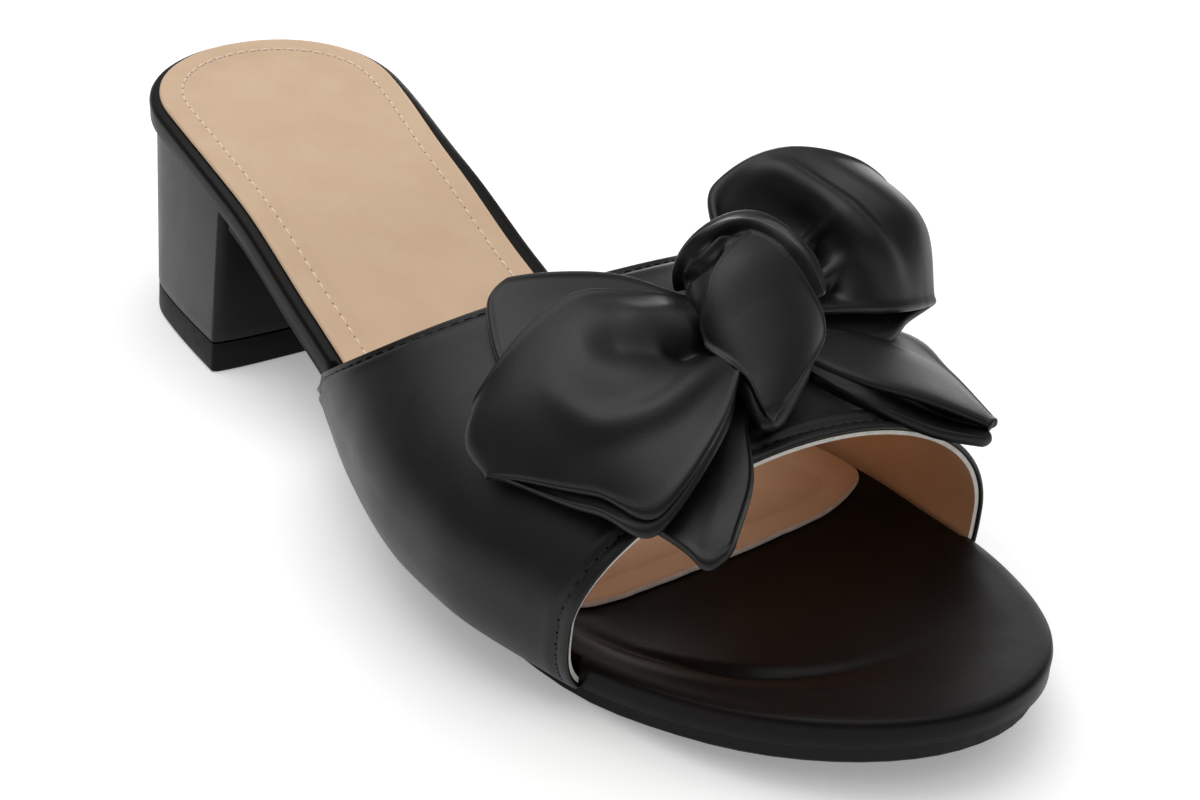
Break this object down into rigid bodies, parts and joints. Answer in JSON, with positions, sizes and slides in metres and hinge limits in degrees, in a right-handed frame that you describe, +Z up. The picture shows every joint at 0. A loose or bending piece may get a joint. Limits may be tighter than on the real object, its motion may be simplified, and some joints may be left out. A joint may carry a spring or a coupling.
{
  "type": "block heel mule",
  "caption": "Open-toe slip-on mule for the right foot: a broad band with a large tied bow over a dished footbed, on a low block heel.",
  "frame": {"origin": "on the floor under the middle of the ball of the foot, on the outsole's flat spot", "axes": "+Z up, the toe points to -Y, the wearer's outer side is -X and the inner side is +X"},
  "size_m": [0.1057, 0.25, 0.0719],
  "materials": {
    "black_upper_leather": "smooth, satin",
    "black_bow_leather": "smooth, satin",
    "black_footbed_leather": "smooth, slightly matte",
    "black_heel_cover": "smooth, satin",
    "tan_sock_leather": "smooth, matte",
    "black_rubber": "fine matte"
  },
  "bodies": {
    "root": {"top_piece": "black_rubber", "heel_block": "black_heel_cover", "outsole": "black_rubber", "upper": "black_upper_leather", "footbed": "black_footbed_leather", "sock": "tan_sock_leather", "bow_knot": "black_bow_leather", "bow_loop_outer": "black_bow_leather", "bow_loop_inner": "black_bow_leather", "bow_tail_outer": "black_bow_leather", "bow_tail_inner": "black_bow_leather"}
  },
  "joints": []
}
